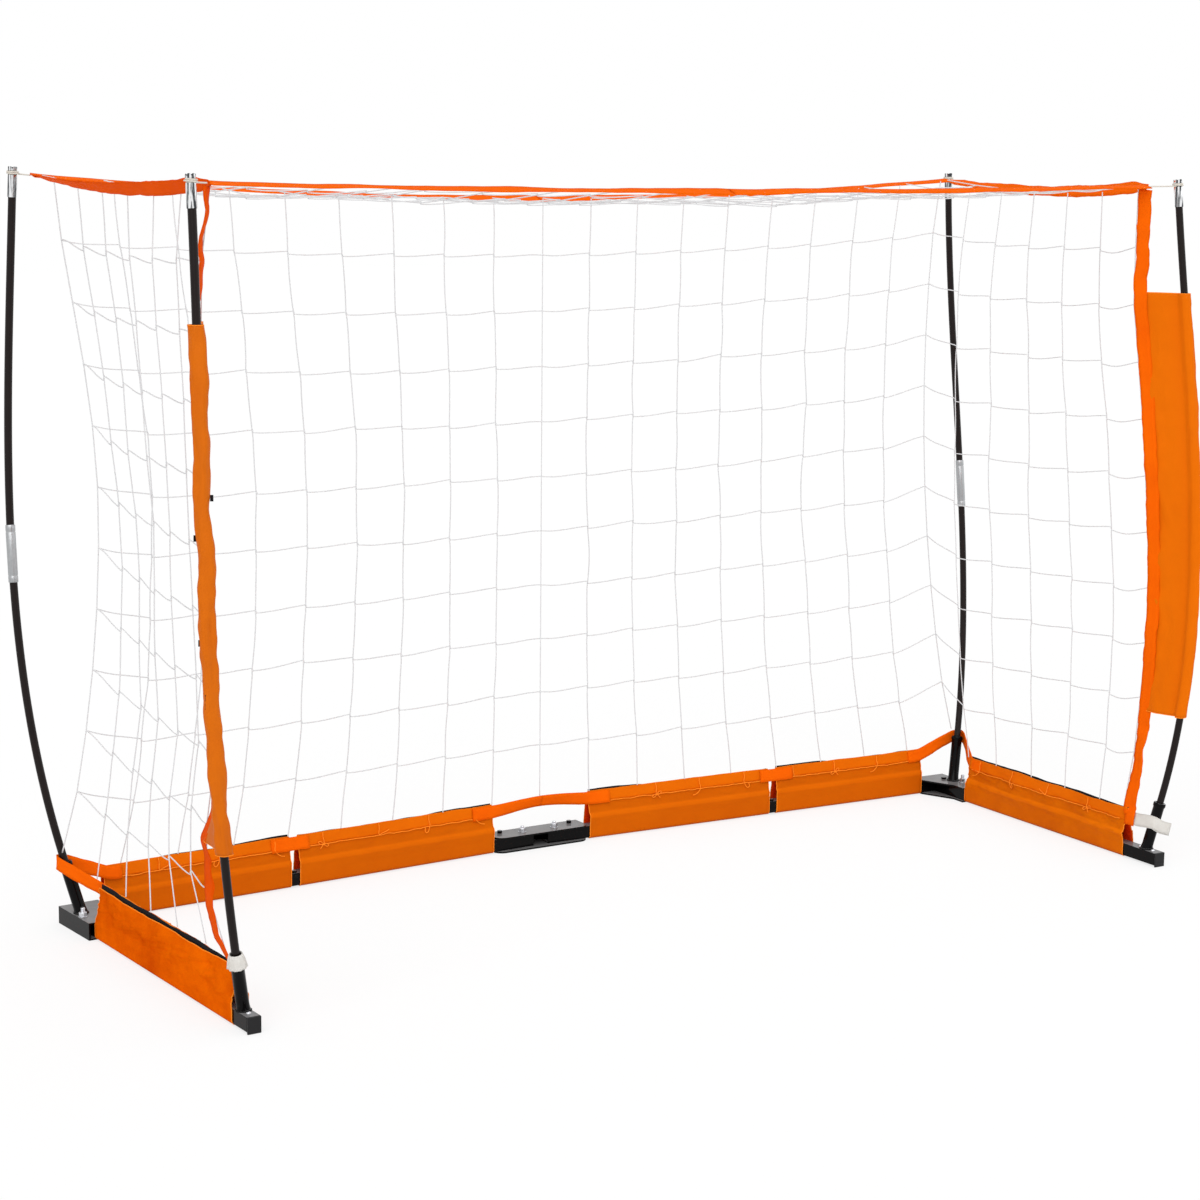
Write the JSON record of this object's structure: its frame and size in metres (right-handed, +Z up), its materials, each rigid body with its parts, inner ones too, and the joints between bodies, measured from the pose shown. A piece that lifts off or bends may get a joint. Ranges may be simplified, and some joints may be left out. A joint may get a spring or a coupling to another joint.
{
  "type": "soccer goal",
  "caption": "Folding pop-up soccer goal: hinged square-bar base, four bowed jointed poles in leaning sockets, box net hung from a webbing ring, fabric sleeves on the bars and front poles.",
  "frame": {"origin": "middle of the bounding box on the ground", "axes": "+X along the goal's width, the mouth faces -Y, +Z up"},
  "size_m": [1.9864, 0.7408, 1.2209],
  "materials": {
    "black_steel": "gloss",
    "zinc_plate": "satin",
    "aluminium": "satin",
    "glass_fibre": "satin",
    "black_plastic": "matte",
    "orange_cloth": "matte",
    "orange_webbing": "matte",
    "white_elastic": "matte",
    "net_cord": "matte"
  },
  "bodies": {
    "half_left": {"back_sleeve_inner_left": "orange_cloth", "back_sleeve_outer_left": "orange_cloth", "back_socket_left": "black_steel", "corner_bolt_left": "zinc_plate", "corner_bracket_left": "black_steel", "half_bar_left": "black_steel", "net_back_left": "net_cord"},
    "half_right": {"back_sleeve_inner_right": "orange_cloth", "back_sleeve_outer_right": "orange_cloth", "back_socket_right": "black_steel", "corner_bolt_right": "zinc_plate", "corner_bracket_right": "black_steel", "half_bar_right": "black_steel", "net_back_right": "net_cord"},
    "centre_hinge": {"base_strap_centre": "orange_webbing", "hinge_bolt_left": "zinc_plate", "hinge_bolt_right": "zinc_plate", "hinge_channel": "black_steel", "net_roof": "net_cord", "top_strap_back": "orange_webbing", "top_strap_front": "orange_webbing"},
    "side_left": {"elastic_band_left": "white_elastic", "end_plug_left": "black_plastic", "front_socket_left": "black_steel", "net_left": "net_cord", "post_webbing_left": "orange_webbing", "side_bar_left": "black_steel", "side_sleeve_left": "orange_cloth", "top_strap_left": "orange_webbing"},
    "side_right": {"elastic_band_right": "white_elastic", "end_plug_right": "black_plastic", "front_socket_right": "black_steel", "net_right": "net_cord", "post_webbing_right": "orange_webbing", "side_bar_right": "black_steel", "side_sleeve_right": "orange_cloth", "top_strap_right": "orange_webbing"},
    "pole_back_left": {"ferrule_back_left": "aluminium", "pole_lower_back_left": "glass_fibre"},
    "pole_back_right": {"ferrule_back_right": "aluminium", "pole_lower_back_right": "glass_fibre"},
    "pole_front_left": {"ferrule_front_left": "aluminium", "pole_lower_front_left": "glass_fibre", "pole_sleeve_left": "orange_cloth"},
    "pole_front_right": {"ferrule_front_right": "aluminium", "pole_lower_front_right": "glass_fibre", "pole_sleeve_right": "orange_cloth"},
    "pole_top_back_left": {"pole_cap_back_left": "zinc_plate", "pole_upper_back_left": "glass_fibre", "tie_cord_back_left": "white_elastic"},
    "pole_top_back_right": {"pole_cap_back_right": "zinc_plate", "pole_upper_back_right": "glass_fibre", "tie_cord_back_right": "white_elastic"},
    "pole_top_front_left": {"pole_cap_front_left": "zinc_plate", "pole_upper_front_left": "glass_fibre", "tie_cord_front_left": "white_elastic"},
    "pole_top_front_right": {"pole_cap_front_right": "zinc_plate", "pole_upper_front_right": "glass_fibre", "tie_cord_front_right": "white_elastic"}
  },
  "joints": [
    {"name": "fold_left", "type": "hinge", "parent": "centre_hinge", "child": "half_left", "pos_m": [-0.034, 0.31762, 0.0144], "axis": [0, 0, 1], "range_deg": [0, 81.5], "deforming": ["net_back_left", "back_sleeve_inner_left", "back_sleeve_outer_left", "net_roof", "top_strap_front", "top_strap_back", "base_strap_centre"]},
    {"name": "side_fold_left", "type": "hinge", "parent": "half_left", "child": "side_left", "pos_m": [-0.90796, 0.25359, 0.0144], "axis": [0, 0, 1], "range_deg": [0, 90.8], "deforming": ["net_left", "side_sleeve_left", "top_strap_left", "post_webbing_left", "pole_lower_front_left", "pole_upper_front_left", "pole_sleeve_left"]},
    {"name": "fold_right", "type": "hinge", "parent": "centre_hinge", "child": "half_right", "pos_m": [0.034, 0.31762, 0.0144], "axis": [0, 0, -1], "range_deg": [0, 81.5], "deforming": ["net_back_right", "back_sleeve_inner_right", "back_sleeve_outer_right"]},
    {"name": "side_fold_right", "type": "hinge", "parent": "half_right", "child": "side_right", "pos_m": [0.90796, 0.25359, 0.0144], "axis": [0, 0, -1], "range_deg": [0, 90.8], "deforming": ["net_right", "side_sleeve_right", "top_strap_right", "post_webbing_right", "pole_lower_front_right", "pole_upper_front_right", "pole_sleeve_right"]},
    {"name": "lift_pole_back_left", "type": "slide", "parent": "half_left", "child": "pole_back_left", "axis": [-0.2269, 0.1781, 0.9575], "range_m": [0, 0.08]},
    {"name": "part_pole_back_left", "type": "slide", "parent": "pole_back_left", "child": "pole_top_back_left", "axis": [0.0073, 0.1147, 0.9934], "range_m": [0, 0.04], "deforming": ["tie_cord_back_left"]},
    {"name": "lift_pole_front_left", "type": "slide", "parent": "side_left", "child": "pole_front_left", "axis": [-0.1849, -0.1363, 0.9733], "range_m": [0, 0.08]},
    {"name": "part_pole_front_left", "type": "slide", "parent": "pole_front_left", "child": "pole_top_front_left", "axis": [-0.005, 0.0758, 0.9971], "range_m": [0, 0.04], "deforming": ["tie_cord_front_left"]},
    {"name": "lift_pole_back_right", "type": "slide", "parent": "half_right", "child": "pole_back_right", "axis": [0.2269, 0.1781, 0.9575], "range_m": [0, 0.08]},
    {"name": "part_pole_back_right", "type": "slide", "parent": "pole_back_right", "child": "pole_top_back_right", "axis": [-0.0073, 0.1147, 0.9934], "range_m": [0, 0.04], "deforming": ["tie_cord_back_right"]},
    {"name": "lift_pole_front_right", "type": "slide", "parent": "side_right", "child": "pole_front_right", "axis": [0.1849, -0.1363, 0.9733], "range_m": [0, 0.08]},
    {"name": "part_pole_front_right", "type": "slide", "parent": "pole_front_right", "child": "pole_top_front_right", "axis": [0.005, 0.0758, 0.9971], "range_m": [0, 0.04], "deforming": ["tie_cord_front_right"]}
  ]
}
